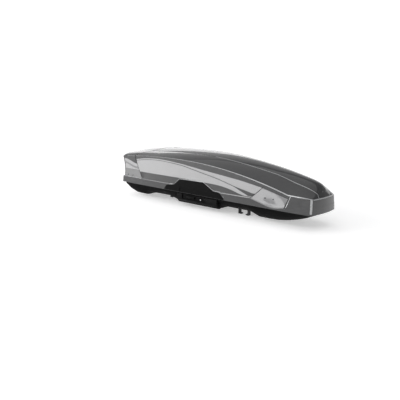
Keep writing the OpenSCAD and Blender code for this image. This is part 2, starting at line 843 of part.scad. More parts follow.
hinge_pins(1);  // hinge_pins_left
lid_shell();
lid_beam(-1);  // lid_beam_right
lid_beam(1);  // lid_beam_left
lid_bow(front_lifter_x);  // lid_bow_front
lid_bow(rear_lifter_x);  // lid_bow_rear
hinge_brackets(-1);  // hinge_brackets_right
hinge_brackets(1);  // hinge_brackets_left
handle_panel(-1);  // handle_panel_right
handle_panel(1);  // handle_panel_left
shell_rivets();
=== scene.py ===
import json
import math
from collections import namedtuple

import bmesh
import bpy
import numpy as np
from mathutils import Matrix, Vector
from mathutils.bvhtree import BVHTree


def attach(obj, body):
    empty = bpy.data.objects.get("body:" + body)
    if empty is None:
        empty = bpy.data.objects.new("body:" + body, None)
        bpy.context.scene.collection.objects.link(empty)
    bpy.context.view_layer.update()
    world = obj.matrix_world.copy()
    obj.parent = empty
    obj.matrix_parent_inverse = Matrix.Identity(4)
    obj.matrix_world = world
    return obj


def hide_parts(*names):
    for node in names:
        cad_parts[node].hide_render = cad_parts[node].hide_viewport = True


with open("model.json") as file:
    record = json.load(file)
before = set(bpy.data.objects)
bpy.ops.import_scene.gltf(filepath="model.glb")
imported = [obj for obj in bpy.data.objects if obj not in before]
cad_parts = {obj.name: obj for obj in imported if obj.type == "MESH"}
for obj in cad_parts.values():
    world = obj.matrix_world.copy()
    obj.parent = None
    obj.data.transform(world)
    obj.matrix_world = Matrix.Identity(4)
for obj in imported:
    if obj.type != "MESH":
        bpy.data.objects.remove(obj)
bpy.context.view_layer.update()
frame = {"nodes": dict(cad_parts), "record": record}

MM = 0.001

# ---- Sizes in millimetres, as in the CAD source ----------------------------------------------

X_REAR, X_NOSE, X_CREASE = -945.0, 945.0, 710.0
BOX_W, CREASE_W, NOSE_W = 675.0, 364.0, 302.0
NOSE_BULGE, REAR_BULGE, NOSE_CUT = 18.0, 3.0, 3.0
REAR_R, NOSE_R = 22.0, 16.0
EDGE_Z = 120.0
TAPER = (BOX_W - CREASE_W) / 2 / (X_CREASE - X_REAR)
REAR_EDGE_X = X_REAR + REAR_BULGE + 25
EDGE_TAPER = 0.09558
LEAN, NOSE_LEAN, LEAN_MAX = 38.0, 0.5, 33.0
HOUSING_X = -95.0
KEY_X, KEY_Z = 40.0, 83.0
LID_T = 4.0
SIDES = ((-1, "right"), (1, "left"))

# Heights above the lid's lower edge: peak of the side's top edge, its rear end and its nose end,
# then the roof at its crown, at its tail and the steep part of its fall at the nose.
PEAK_X = -300.0
SIDE_H, REAR_H, NOSE_H = 257.0, 213.0, 115.0
CROWN_H, TAIL_H, NOSE_FALL = 312.0, 243.0, 87.0


def smooth(t):
    t = np.clip(t, 0, 1)
    return t * t * (3 - 2 * t)


def spline(x, knots):
    """A smooth curve through (x, value) knots, level beyond both ends."""
    xs, ys = np.array(knots, float).T
    slope = np.gradient(ys, xs)
    x = np.clip(np.asarray(x, float), xs[0], xs[-1])
    k = np.clip(np.searchsorted(xs, x) - 1, 0, len(xs) - 2)
    h = xs[k + 1] - xs[k]
    t = (x - xs[k]) / h
    return ((2 * t**3 - 3 * t**2 + 1) * ys[k] + (t**3 - 2 * t**2 + t) * h * slope[k]
            + (3 * t**2 - 2 * t**3) * ys[k + 1] + (t**3 - t**2) * h * slope[k + 1])


def side_y(x):
    return BOX_W / 2 - TAPER * (x - X_REAR)


# ---- Lid surface ---------------------------------------------------------------------------

def edge_top(x):
    """Height of the side's top edge above the lower edge."""
    x = np.asarray(x, float)
    run = X_CREASE + 20 - PEAK_X
    rear = SIDE_H - (SIDE_H - REAR_H) * (np.maximum(0, PEAK_X - x) / (PEAK_X - X_REAR)) ** 2
    front = SIDE_H - (SIDE_H - NOSE_H) * (np.clip(x - PEAK_X, 0, run) / run) ** 2.1
    return np.where(x < PEAK_X, rear, front)


def crown(x):
    """Height of the roof along the middle plane: a gentle fall, then a steep one at the nose."""
    t = np.clip(x / X_NOSE, 0, 1)
    rear = CROWN_H - (CROWN_H - TAIL_H) * (x / X_REAR) ** 2
    front = CROWN_H - (CROWN_H - NOSE_H - NOSE_FALL) * t**1.8 - NOSE_FALL * t**26
    return np.where(x < 0, rear, front)


def crease_y(x):
    """Distance of the roof crease from the middle plane."""
    bend = 650
    along = np.clip(x - bend, 0, X_NOSE - bend) / (X_NOSE - bend)
    return np.where(x < bend, 125 - 30 * (x + 800) / 1450, 95 - 45 * along**6)


def rear_cap(x):
    """Share of the squarer shape that the rear cap has."""
    return smooth((-600 - x) / 300)


def dome(x):
    """Rise of the middle panel above its creases."""
    rise = 12 - 6 * rear_cap(x) + 13 * smooth((x + 200) / 700) + 13 * smooth((x - 560) / 220)
    return rise * (1 - (np.maximum(0, x) / X_NOSE) ** 30)


def roof_z(x, y, w):
    """Height of the roof at x and y, where w is the half-width of its edge."""
    a = np.abs(y)
    c = np.minimum(crease_y(x), w - 25)
    top = crown(x) - dome(x)
    low = np.minimum(edge_top(x), top)
    power = 1.3 + (np.maximum(0, 600 - x) / 1545) ** 2 + 1.7 * rear_cap(x)
    inner = top + dome(x) * (1 - (a / c) ** 2)
    outer = low + (top - low) * (1 - np.clip((a - c) / np.maximum(1, w - c), 0, 1) ** power)
    return np.where(a <= c, inner, outer)


def groove_rear(z):
    """Place of the groove round the rear cap, at a height on the side."""
    return np.interp(z, [57, 117, 171, 231], [-681, -724, -762, -788])


def groove_front(z):
    """Place of the slanted groove behind the front panel."""
    return 423 + 1.045 * (np.clip(z, 54, 178) - 54)


def nose_line(z):
    """Place of the slanted crease where the nose begins."""
    return 718 + 0.323 * z


CAP_E = [(-945, 194), (-905, 199), (-783, 168)]
MID_E = [(-790, 203), (-670, 224), (-554, 234), (-335, 229), (-76, 206), (121, 188),
         (355, 165), (498, 144), (728, 92)]
MID_C = [(-724, 110), (0, 110), (135, 106), (249, 89), (323, 70), (406, 59)]
LINE_D = [(-389, 236), (-56, 182), (103, 156), (253, 124), (439, 91)]
SPEAR = [(103, 152), (253, 120), (323, 94), (406, 63)]
PANEL_LOW = [(423, 54), (493, 35), (573, 17), (633, 12), (698, 22)]

# Anchor heights of the wall: lower edge A, band B, light facet C, line or wedge L W U, upper
# border E, top edge F.
A, B, C, L, W, U, E, F = range(8)


def anchors(x, zone):
    """Heights of the eight anchors at x, in a zone: rear cap, side, front panel or nose."""
    n = len(x)
    f = edge_top(x)
    out = np.zeros((8, n))
    side_b = np.interp(x, [-700, 0, 410], [51, 50, 55])
    side_e = spline(x, MID_E)
    side_c = spline(x, MID_C)
    d = np.minimum(spline(x, LINE_D), side_e - 9)
    spear = np.where(x > 103, spline(x, SPEAR), d - 4)
    low = np.minimum(spear, d - 4)
    side = np.array([0 * x, side_b, side_c, np.maximum(low, side_c + 2), 0 * x, d, side_e, f])
    side[W] = (side[L] + side[U]) / 2
    cap_e = spline(x, CAP_E)
    cap = np.array([0 * x, 51 + 0 * x, 120 + 0 * x, cap_e - 40, cap_e - 32, cap_e - 24, cap_e, f])
    low_b = spline(x, PANEL_LOW)
    share = np.array([0, 0, 0.25, 0.42, 0.5, 0.58, 1, 0])[:, None]
    panel = low_b + share * (side_e - low_b)
    panel[A], panel[F] = 0, f
    nose = np.array([0, 0.2, 0.4, 0.5, 0.55, 0.6, 0.8, 1])[:, None] * f
    for k, values in zip((CAP, SIDE, PANEL, NOSE), (cap, side, panel, nose)):
        out = np.where((zone == k)[None, :], values, out)
    return out


def insets(x, z, zone):
    """Insets of the anchors, and of the inner lip of the band's step."""
    along = (x - REAR_EDGE_X) / (X_CREASE - REAR_EDGE_X)
    sf = np.minimum(LEAN_MAX, LEAN * (1 - (1 - NOSE_LEAN) * along))
    light, steep = 0.185, 0.05
    s = np.zeros_like(z)
    s[F] = sf
    s[E] = s[F] - steep * (z[F] - z[E])
    s[U] = s[E] - light * (z[E] - z[U])
    s[L] = s[U] - steep * (z[U] - z[L])
    s[C] = np.maximum(6, s[L] - light * (z[L] - z[C]))
    s[L] = np.maximum(s[L], s[C])
    s[U] = np.maximum(s[U], s[L])
    s[B] = 2
    step = 5 + 0 * x
    cap = zone == CAP
    s[B] = np.where(cap, 4.5, s[B])
    panel = zone == PANEL
    for k in (C, L, U):
        share = (z[k] - z[B]) / np.maximum(1, z[E] - z[B])
        s[k] = np.where(panel, 3 + share * (s[E] - 3), s[k])
    s[B] = np.where(panel, 1.2, s[B])
    step = np.where(panel, 3, step)
    nose = zone == NOSE
    s = np.where(nose[None, :], LEAN * NOSE_LEAN * z / np.maximum(1, z[F]), s)
    step = np.where(nose, s[B] + 0.3, step)
    s[W] = (s[L] + s[U]) / 2
    return s, step


# Rows up the wall: (anchor, offset) or (anchor, share of the way to the next one).
ROWS = [("o", A, 0), ("o", A, 3), ("s", A, 0.5), ("o", B, -4), ("o", B, -1), ("o", B, 2),
        ("o", B, 6), ("s", B, 0.35), ("s", B, 0.7), ("o", C, -4), ("o", C, 0), ("o", C, 4),
        ("s", C, 0.35), ("s", C, 0.7), ("o", L, -3), ("o", L, 0), ("o", W, 0), ("o", U, 0),
        ("o", U, 3), ("s", U, 0.35), ("s", U, 0.7), ("o", E, -4), ("o", E, 0), ("o", E, 4),
        ("s", E, 0.55), ("o", F, -6), ("o", F, -2.5), ("o", F, 0)]
ROW_N = len(ROWS)
ROW_LEDGE, ROW_STEP, ROW_C, ROW_L, ROW_W, ROW_U, ROW_E, ROW_F = 4, 5, 10, 15, 16, 17, 22, 27
ROW_GAP = 0.7


def wall_rows(x, zone):
    """Heights and insets of every row, at the places x."""
    z = anchors(x, zone)
    s, step = insets(x, z, zone)
    heights, depths = [], []
    for kind, k, value in ROWS:
        if kind == "o":
            h = z[k] + value
        else:
            h = z[k] + value * (z[k + 1] - z[k])
        heights.append(h)
    heights = np.array(heights)
    for r in range(1, ROW_N):
        heights[r] = np.maximum(heights[r], heights[r - 1] + ROW_GAP)
    for r in range(ROW_N - 2, 0, -1):
        heights[r] = np.minimum(heights[r], z[F] - ROW_GAP * (ROW_F - r))
    heights[ROW_F] = z[F]
    for r, h in enumerate(heights):
        d = np.zeros_like(h)
        for i in range(h.shape[0]):
            zz = [z[A, i], z[B, i] - 1, z[B, i] + 2, z[C, i], z[L, i], z[U, i], z[E, i], z[F, i]]
            ss = [0, s[B, i], step[i], s[C, i], s[L, i], s[U, i], s[E, i], s[F, i]]
            d[i] = np.interp(h[i], zz, ss)
        depths.append(d)
    return heights, np.array(depths)


# The four zones along a side, and the grooves or creases between them, which are anchors too.
CAP, SIDE, PANEL, NOSE = range(4)
REAR_END, GROOVE_REAR, GROOVE_FRONT, NOSE_CREASE, NOSE_END = range(5)

# A column lies a share of the way from one anchor and offset to another. It has a zone and, in a
# groove, the groove's anchor and a depth.
Column = namedtuple("Column", "start start_off end end_off share zone depth groove")
REAR_GROOVE = [(-8, 0), (-5.6, 0), (-4.6, 0.5), (-3, 1), (3, 1), (4.6, 0.5), (5.6, 0), (8, 0)]
FRONT_GROOVE = [(-5, 0), (-3.2, 0), (-2, 1), (2, 1), (3.2, 0), (5, 0)]
NOSE_GROOVE = [(-16, 0), (-12, 0), (-10, 1), (-6, 1), (-4, 0), (-2, 0), (0, 0), (3, 0)]
columns = []


def add_span(k0, o0, k1, o1, steps, zone):
    for n in range(1, steps):
        columns.append(Column(k0, o0, k1, o1, n / steps, zone, 0, 0))


def add_groove(k, profile, zones, depth):
    for offset, share in profile:
        zone = zones[0] if offset < 0 else zones[1]
        columns.append(Column(k, offset, k, offset, 0, zone, share * depth, k))


columns.append(Column(REAR_END, 0, REAR_END, 0, 0, CAP, 0, 0))
add_span(REAR_END, 0, GROOVE_REAR, -8, 13, CAP)
add_groove(GROOVE_REAR, REAR_GROOVE, (CAP, SIDE), 4.5)
add_span(GROOVE_REAR, 8, GROOVE_FRONT, -5, 140, SIDE)
add_groove(GROOVE_FRONT, FRONT_GROOVE, (SIDE, PANEL), 2.2)
add_span(GROOVE_FRONT, 5, NOSE_CREASE, -16, 24, PANEL)
add_groove(NOSE_CREASE, NOSE_GROOVE, (PANEL, NOSE), 1.6)
add_span(NOSE_CREASE, 3, NOSE_END, 0, 20, NOSE)
columns.append(Column(NOSE_END, 0, NOSE_END, 0, 0, NOSE, 0, 0))
COLUMN_N = len(columns)
ARC = 5
SIDE_N = COLUMN_N - 1 + 2 * ARC
HALF = 20
END_N = 2 * HALF
RING_N = 2 * SIDE_N + 2 * END_N


def rear_inset(z):
    """How far the rear end stands back at a height on the side."""
    return np.interp(z, [0, 50, 54, 102, 184, 205, 213], [25, 27, 46, 38, 13, 3, 0])


def nose_inset(z):
    """How far the nose end stands back at a height on the side."""
    return np.interp(z, [0, 50, 54, 72, 104, 112, 115], [0, 0, 1, 2, 3, 4, 8])


def anchor_x(z):
    """Places of the five anchors along the side, at the heights z."""
    return np.array([
        X_REAR + REAR_BULGE + rear_inset(z) + REAR_R, groove_rear(z), groove_front(z),
        nose_line(z), X_NOSE - NOSE_BULGE - nose_inset(z) - NOSE_R
    ])


def lid_edge_y(x):
    """Distance of the lid's lower edge from the middle plane, behind the nose crease."""
    return BOX_W / 2 - (x - REAR_EDGE_X) * EDGE_TAPER


# The engraved line in the side, between these places, and its depth.
LINE_X = (-395, 260)
LINE_DEPTH = 2.2


def side_surface(t, detail):
    """Points [row, column, xyz] of one side, y positive, moved inward by t."""
    k0, o0, k1, o1, share, zone, depth, which = (np.array(v) for v in zip(*columns))
    k0, k1, zone, which = (v.astype(int) for v in (k0, k1, zone, which))
    x = np.linspace(-900, 900, COLUMN_N)[None, :].repeat(ROW_N, 0)
    z = np.zeros((ROW_N, COLUMN_N))
    s = np.zeros_like(z)
    # A row's place and its height depend on each other, so both are found by repeating.
    for step in range(7):
        for r in range(ROW_N):
            h, d = wall_rows(x[r], zone)
            z[r], s[r] = h[r], d[r]
            a = anchor_x(z[r])
            start = np.take_along_axis(a, k0[None, :], 0)[0] + o0
            end = np.take_along_axis(a, k1[None, :], 0)[0] + o1
            target = start + (end - start) * share
            x[r] = target if step < 3 else (x[r] + target) / 2
    fade = np.ones_like(z)
    fade = np.where(which[None, :] == GROOVE_REAR, smooth((z - 50) / 8), fade)
    fade = np.where(which[None, :] == GROOVE_FRONT, smooth((z - 50) / 6), fade)
    fade = np.where(which[None, :] > GROOVE_REAR, fade * smooth((z[ROW_F] - 2 - z) / 5), fade)
    line = np.where((x > LINE_X[0]) & (x < LINE_X[1]) & (zone == SIDE)[None, :],
                    smooth((x - LINE_X[0]) / 60) * smooth((LINE_X[1] - x) / 60), 0)
    s = s + t + detail * depth[None, :] * fade
    s[ROW_W] += detail * LINE_DEPTH * line[ROW_W]
    nose = zone == NOSE
    y = lid_edge_y(x) - s
    crease_x = nose_line(z)
    crease = lid_edge_y(crease_x) - s
    n = nose_inset(z)
    corner_x = X_NOSE - NOSE_BULGE - n - t
    corner_y = NOSE_W / 2 - s * 0.45 - n * 0.3
    u = (x - crease_x) / (corner_x - crease_x)
    y = np.where(nose[None, :] & (u > 0), crease + (corner_y - crease) * u, y)
    if t:
        z[ROW_F] -= t
        z[ROW_F - 1] -= t * 0.6
    x[:, 0] += t
    x[:, -1] -= t
    return x, y, z


def curve_arc(a, k, b, steps):
    """Points between a and b on a curve whose corner is k."""
    t = (np.arange(1, steps + 1) / (steps + 1))[:, None]
    return (1 - t) ** 2 * a + 2 * t * (1 - t) * k + t**2 * b


def side_skin(t, detail):
    """Points [row, ring step, xyz] of one side with its rear and nose corners, y positive."""
    x, y, z = side_surface(t, detail)
    side = np.zeros((ROW_N, SIDE_N + 1, 3))
    for r in range(ROW_N):
        first = np.array([x[r, 0], y[r, 0]])
        rear_in = rear_inset(z[r, 0]) + t
        k0 = np.array([X_REAR + REAR_BULGE + rear_in, y[r, 0] + TAPER * REAR_R])
        r0 = k0 - [0, REAR_R]
        last = np.array([x[r, -1], y[r, -1]])
        k2x = X_NOSE - NOSE_BULGE - nose_inset(z[r, -1]) - t
        slope = (y[r, -1] - y[r, -5]) / (x[r, -1] - x[r, -5])
        k2 = np.array([k2x, y[r, -1] + slope * (k2x - x[r, -1])])
        n1 = k2 + [NOSE_CUT, -NOSE_R]
        rear_arc = curve_arc(r0, k0, first, ARC - 1)
        nose_arc = curve_arc(last, k2, n1, ARC - 1)
        xy = np.vstack([r0[None], rear_arc, np.stack([x[r], y[r]], 1), nose_arc, n1[None]])
        zz = np.concatenate([[z[r, 0]] * ARC, z[r], [z[r, -1]] * ARC])
        side[r] = np.column_stack([xy, zz])
    return side


def across(w, c):
    """y of the END_N + 1 steps across the box at a column, from -w to w."""
    outer = [w, w - 4, w - 9]
    start, stop = w - 9, c + 9
    outer += [start + (stop - start) * n / 6 for n in range(1, 6)]
    inner = [c + 9, c + 4.5, c + 2.2, c, c - 2.2, c - 4.5, c - 9]
    inner += [(c - 9) * (1 - n / 6) for n in range(1, 6)]
    half = np.array(outer + inner + [0.0])
    return np.concatenate([-half, half[-2::-1]])


def lid_vertices(t, detail):
    """Vertices of one skin of the lid: ROW_N rings of RING_N points, then the roof grid."""
    side = side_skin(t, detail)
    rings = np.zeros((ROW_N, RING_N, 3))
    top = side[ROW_F]
    for r in range(ROW_N):
        p = side[r]
        rings[r, :SIDE_N + 1] = p * [1, -1, 1]
        rings[r, SIDE_N + END_N:2 * SIDE_N + END_N + 1] = p[::-1]
        yn, yr = p[-1, 1], p[0, 1]
        cn = min(float(crease_y(p[-1, 0])), yn - 30)
        cr = min(float(crease_y(p[0, 0])), yr - 30)
        ny, ry = across(yn, cn)[1:-1], -across(yr, cr)[1:-1]
        nx = p[-1, 0] + (NOSE_BULGE - NOSE_CUT) * (1 - (ny / yn) ** 2)
        rx = p[0, 0] - REAR_BULGE * (1 - (ry / yr) ** 2)
        rings[r, SIDE_N + 1:SIDE_N + END_N] = np.column_stack([nx, ny, np.full(END_N - 1, p[-1, 2])])
        w = BOX_W / 2 - LEAN - t
        full = roof_z(rx, ry, w) - t
        corner = top[0, 2]
        share = np.clip((p[0, 2] - 54) / (corner - 54), 0, 1)
        rz = p[0, 2] + np.maximum(0, full - corner) * share
        rings[r, 2 * SIDE_N + END_N + 1:] = np.column_stack([rx, ry, rz])
    grid = np.zeros((SIDE_N + 1, END_N + 1, 3))
    profile = np.zeros(SIDE_N + 1)
    for n, col in enumerate(columns):
        if col.groove == GROOVE_REAR:
            profile[n + ARC] = col.depth
    x_groove = float(groove_rear(225))
    for i in range(SIDE_N + 1):
        ex, ey, ez = top[i]
        c = min(float(crease_y(ex)), ey - 30)
        ys = across(ey, c)
        path = np.interp(np.abs(ys), [0, 150, 160, 285], [-742, -742, -744, x_groove])
        if ex < x_groove:
            weight = np.clip((ex - X_REAR) / (x_groove - X_REAR), 0, 1)
        else:
            weight = np.clip(1 - (ex - x_groove) / 320, 0, 1)
        xs = ex + weight * (path - x_groove)
        zs = roof_z(xs, ys, ey) - t
        near = np.abs(np.abs(ys) - c)
        depth = 2.4 * np.interp(ex, [-760, -700, 300, 800], [0, 1, 1, 0.35])
        zs = zs - detail * depth * np.interp(near, [0, 1, 2.3], [1, 1, 0])
        zs = zs - detail * profile[i]
        zs[0] = zs[-1] = ez
        if detail:
            zs[0] -= 0.6
            zs[-1] -= 0.6
        grid[i] = np.column_stack([xs, ys, zs])
    inner = grid[1:SIDE_N, 1:END_N].reshape(-1, 3)
    out = np.vstack([rings.reshape(-1, 3), inner])
    out[:, 2] += EDGE_Z
    return out


def grid_index(i, j, ring, grid):
    if j == 0:
        return ring + i
    if j == END_N:
        return ring + 2 * SIDE_N + END_N - i
    if i == SIDE_N:
        return ring + SIDE_N + j
    if i == 0:
        return ring + RING_N - j
    return grid + (i - 1) * (END_N - 1) + j - 1


# Order of the lid's materials: paint, a painted reflection, painted shade, the inside and a painted
# highlight.
PAINT, PAINTED_REFLECTION, PAINTED_SHADE, INNER, PAINTED_HIGHLIGHT = range(5)


def wall_material(r, i):
    """Material of the wall face above row r between side columns i and i + 1: a painted highlight on
    the nose corner and beside the nose crease, painted shade in the grooves, and a painted reflection
    in lighter paint on the ledge and the band's facets.
    """
    c = i - ARC
    if c < 0 or c >= COLUMN_N - 1:
        on_corner = COLUMN_N <= c <= COLUMN_N + 2
        return PAINTED_HIGHLIGHT if on_corner and r > 1 else PAINT
    a, b = columns[c], columns[c + 1]
    # The front side of the nose crease gets a painted highlight.
    if a.start == NOSE_CREASE == b.start and a.depth == 0 == b.depth and b.share == 0:
        if a.start_off >= -4 and b.start_off <= 0 and r > ROW_STEP:
            return PAINTED_HIGHLIGHT
    # Groove bottoms above the step get painted shade.
    if a.depth > 0 and b.depth > 0:
        return PAINTED_SHADE if r > ROW_STEP else PAINT
    if b.zone == NOSE or a.groove == NOSE_CREASE:
        return PAINT
    # The ledge and the band's facets get a painted reflection in lighter paint.
    if r == ROW_LEDGE:
        return PAINTED_REFLECTION
    if b.zone == PANEL:
        return PAINTED_REFLECTION if ROW_STEP <= r < ROW_E else PAINT
    if b.zone == CAP:
        return PAINTED_REFLECTION if ROW_C <= r < ROW_E else PAINT
    return PAINTED_REFLECTION if ROW_C <= r < ROW_L or ROW_U <= r < ROW_E else PAINT


# Steps across the roof that form its crease, the column behind which it has none, the one where its
# painted shade gives way to a painted highlight, and the one behind which the top edge has no painted
# highlight.
CREASE_STEPS = (10, 11)
CREASE_START, CREASE_SHADE_END, EDGE_HIGHLIGHT_START = 25, 100, 3


def roof_material(c, step):
    """Material of the roof face before column c + 1, a number of steps in from the side: painted
    shade in the rear groove and the rear part of the crease, and a painted highlight on the crease
    near the nose and on the top edge.
    """
    if 0 <= c < COLUMN_N - 1:
        pair = columns[c:c + 2]
        if all(col.groove == GROOVE_REAR and col.depth > 0 for col in pair):
            return PAINTED_SHADE
    if step in CREASE_STEPS and c > CREASE_START:
        return PAINTED_SHADE if c < CREASE_SHADE_END else PAINTED_HIGHLIGHT
    return PAINTED_HIGHLIGHT if step == 0 and c > EDGE_HIGHLIGHT_START else PAINT


def add_object(name, mesh):
    obj = bpy.data.objects.new(name, mesh)
    bpy.context.scene.collection.objects.link(obj)
    return obj


def mesh_object(name, bm, mat):
    """A smooth object of a bmesh that was built in metres, with one material."""
    for f in bm.faces:
        f.smooth = True
    mesh = bpy.data.meshes.new(name)
    bm.to_mesh(mesh)
    bm.free()
    mesh.materials.append(MATERIALS[mat])
    return add_object(name, mesh)


def around(items):
    """Each item with the next one, the last with the first."""
    return zip(items, items[1:] + items[:1])


def join(bm, a, b):
    """Faces between two rings of as many vertices."""
    for (a0, a1), (b0, b1) in zip(around(a), around(b)):
        bm.faces.new((a0, a1, b1, b0))


def close_mesh(bm, scale):
    """Turn the faces outward, and scale the mesh."""
    bmesh.ops.recalc_face_normals(bm, faces=bm.faces)
    bmesh.ops.scale(bm, vec=(scale, scale, scale), verts=bm.verts)


# ---- Materials -----------------------------------------------------------------------------

def material(name, colour, rough=0.5, metallic=0.0, coat=0.0, coat_rough=0.05, grain=900.0,
             bump=0.15, vary=0.06, wear=0.15, weave=0.0, speck=0.0, shine=0.5):
    """A procedural finish: colour variation, fine grain, worn edges and, if asked, a weave."""
    m = bpy.data.materials.new(name)
    m.use_nodes = True
    t = m.node_tree
    t.nodes.clear()
    add, link = t.nodes.new, t.links.new
    out, bsdf = add("ShaderNodeOutputMaterial"), add("ShaderNodeBsdfPrincipled")
    link(bsdf.outputs[0], out.inputs[0])
    place = add("ShaderNodeTexCoord")
    where = place.outputs["Object"]

    def noise(scale, detail=2.0, rough_value=0.5):
        n = add("ShaderNodeTexNoise")
        n.inputs["Scale"].default_value = scale
        n.inputs["Detail"].default_value = detail
        n.inputs["Roughness"].default_value = rough_value
        link(where, n.inputs["Vector"])
        return n.outputs["Fac"]

    def ramp(value, low, high, out_low, out_high):
        r = add("ShaderNodeMapRange")
        link(value, r.inputs["Value"])
        for k, v in zip(("From Min", "From Max", "To Min", "To Max"), (low, high, out_low, out_high)):
            r.inputs[k].default_value = v
        return r.outputs["Result"]

    def math_node(kind, a, b):
        n = add("ShaderNodeMath")
        n.operation = kind
        for k, v in enumerate((a, b)):
            if isinstance(v, (int, float)):
                n.inputs[k].default_value = v
            else:
                link(v, n.inputs[k])
        return n.outputs[0]

    broad = ramp(noise(9, 3), 0.3, 0.7, 1 - vary, 1 + vary)
    fine = ramp(noise(grain, 2), 0.3, 0.7, 1 - vary / 2, 1 + vary / 2)
    shade = math_node("MULTIPLY", broad, fine)
    if speck:
        cells = add("ShaderNodeTexVoronoi")
        cells.inputs["Scale"].default_value = 1600
        link(where, cells.inputs["Vector"])
        spark = add("ShaderNodeSeparateColor")
        link(cells.outputs["Color"], spark.inputs[0])
        shade = math_node("MULTIPLY", shade, ramp(spark.outputs[0], 0, 1, 1 - speck, 1 + speck))
    if weave:
        parts = []
        for axis, scale in (("X", weave), ("Y", weave)):
            wave = add("ShaderNodeTexWave")
            wave.bands_direction = axis
            wave.inputs["Scale"].default_value = scale
            link(where, wave.inputs["Vector"])
            parts.append(wave.outputs["Fac"])
        cloth = math_node("MULTIPLY", *parts)
        shade = math_node("MULTIPLY", shade, ramp(cloth, 0, 1, 0.6, 1.3))
    edge = add("ShaderNodeNewGeometry")
    worn = ramp(edge.outputs["Pointiness"], 0.52, 0.62, 0, wear)
    worn = math_node("MULTIPLY", worn, ramp(noise(60, 4), 0.35, 0.6, 0.3, 1))
    base = add("ShaderNodeMix")
    base.data_type = "RGBA"
    base.blend_type = "MULTIPLY"
    base.inputs["Factor"].default_value = 1
    base.inputs["A"].default_value = (*colour, 1)
    grey = add("ShaderNodeCombineColor")
    for k in range(3):
        link(shade, grey.inputs[k])
    link(grey.outputs[0], base.inputs["B"])
    pale = add("ShaderNodeMix")
    pale.data_type = "RGBA"
    link(worn, pale.inputs["Factor"])
    link(base.outputs["Result"], pale.inputs["A"])
    pale.inputs["B"].default_value = (*[min(1, c * 2.2 + 0.08) for c in colour], 1)
    link(pale.outputs["Result"], bsdf.inputs["Base Color"])
    link(math_node("ADD", ramp(noise(35, 3), 0.3, 0.7, -0.05, 0.05), rough), bsdf.inputs["Roughness"])
    bsdf.inputs["Metallic"].default_value = metallic
    bsdf.inputs["Specular IOR Level"].default_value = shine
    bsdf.inputs["Coat Weight"].default_value = coat
    bsdf.inputs["Coat Roughness"].default_value = coat_rough
    height = cloth if weave else noise(grain, 3, 0.6)
    bumps = add("ShaderNodeBump")
    bumps.inputs["Strength"].default_value = bump
    bumps.inputs["Distance"].default_value = 0.0006 if weave else 0.0003
    link(height, bumps.inputs["Height"])
    link(bumps.outputs[0], bsdf.inputs["Normal"])
    return m


GLOSS = dict(coat=1, coat_rough=0.045, grain=700, bump=0.03, vary=0.03, wear=0.5, speck=0.12)
FINISHES = {
    "lid_paint": dict(colour=(0.037, 0.037, 0.038), rough=0.4, shine=0.1, **GLOSS),
    # A lighter copy of the lid paint: a painted reflection of the low light on the band's facets and
    # the ledge.
    "lid_paint_painted_reflection": dict(colour=(0.165, 0.165, 0.168), rough=0.38, shine=0.3, **GLOSS),
    # A darker copy of the lid paint: painted shade at the bottoms of the grooves and along the rear
    # part of the roof crease.
    "lid_groove_painted_shade": dict(colour=(0.02, 0.02, 0.021), rough=0.55, coat=0.2),
    # A pale copy of the lid paint: painted highlights along the creases, the nose corner, the top
    # edge and the bead round the handle panel.
    "lid_painted_highlight": dict(colour=(0.34, 0.345, 0.35), rough=0.3, metallic=0.2, coat=1, grain=700,
                     bump=0.03, vary=0.03, wear=0.2),
    "lid_inner": dict(colour=(0.05, 0.05, 0.052), rough=0.6, grain=500, bump=0.3),
    "base_plastic": dict(colour=(0.003, 0.003, 0.0031), rough=0.55, grain=650, bump=0.35, shine=0.05),
    "trim_black": dict(colour=(0.003, 0.003, 0.0031), rough=0.48, grain=900, bump=0.3, shine=0.06),
    "rubber": dict(colour=(0.015, 0.015, 0.015), rough=0.7, grain=600, bump=0.25),
    "aluminium": dict(colour=(0.62, 0.63, 0.64), rough=0.35, metallic=1, grain=400, bump=0.1),
    "steel": dict(colour=(0.5, 0.5, 0.51), rough=0.32, metallic=1, grain=500, bump=0.08),
    "arm_metal": dict(colour=(0.12, 0.125, 0.13), rough=0.4, metallic=0.4, coat=0.3, coat_rough=0.1),
    "beam_dark": dict(colour=(0.03, 0.03, 0.032), rough=0.45, metallic=0.3, coat=0.3,
                      coat_rough=0.15),
    "webbing": dict(colour=(0.02, 0.02, 0.021), rough=0.85, weave=160, bump=0.8, wear=0),
    "buckle_plastic": dict(colour=(0.02, 0.02, 0.021), rough=0.35, bump=0.15),
    "rivet_black": dict(colour=(0.006, 0.006, 0.006), rough=0.4, metallic=0.2, coat=0.4,
                        coat_rough=0.1),
    "clamp_plastic": dict(colour=(0.022, 0.022, 0.024), grain=700, bump=0.35),
    "knob_plastic": dict(colour=(0.07, 0.07, 0.075), rough=0.45, grain=900, bump=0.25),
    "jaw_metal": dict(colour=(0.03, 0.03, 0.032), rough=0.55, metallic=0.2, grain=1200, bump=0.5),
    "key_metal": dict(colour=(0.75, 0.75, 0.76), rough=0.18, metallic=1, grain=300, bump=0.03),
}
MATERIALS = {name: material(name, **finish) for name, finish in FINISHES.items()}


def give(obj, body, nodes):
    """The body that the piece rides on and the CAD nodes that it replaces."""
    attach(obj, body)
    if nodes:
        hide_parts(*nodes)
    return obj


# ---- Lid shell -----------------------------------------------------------------------------

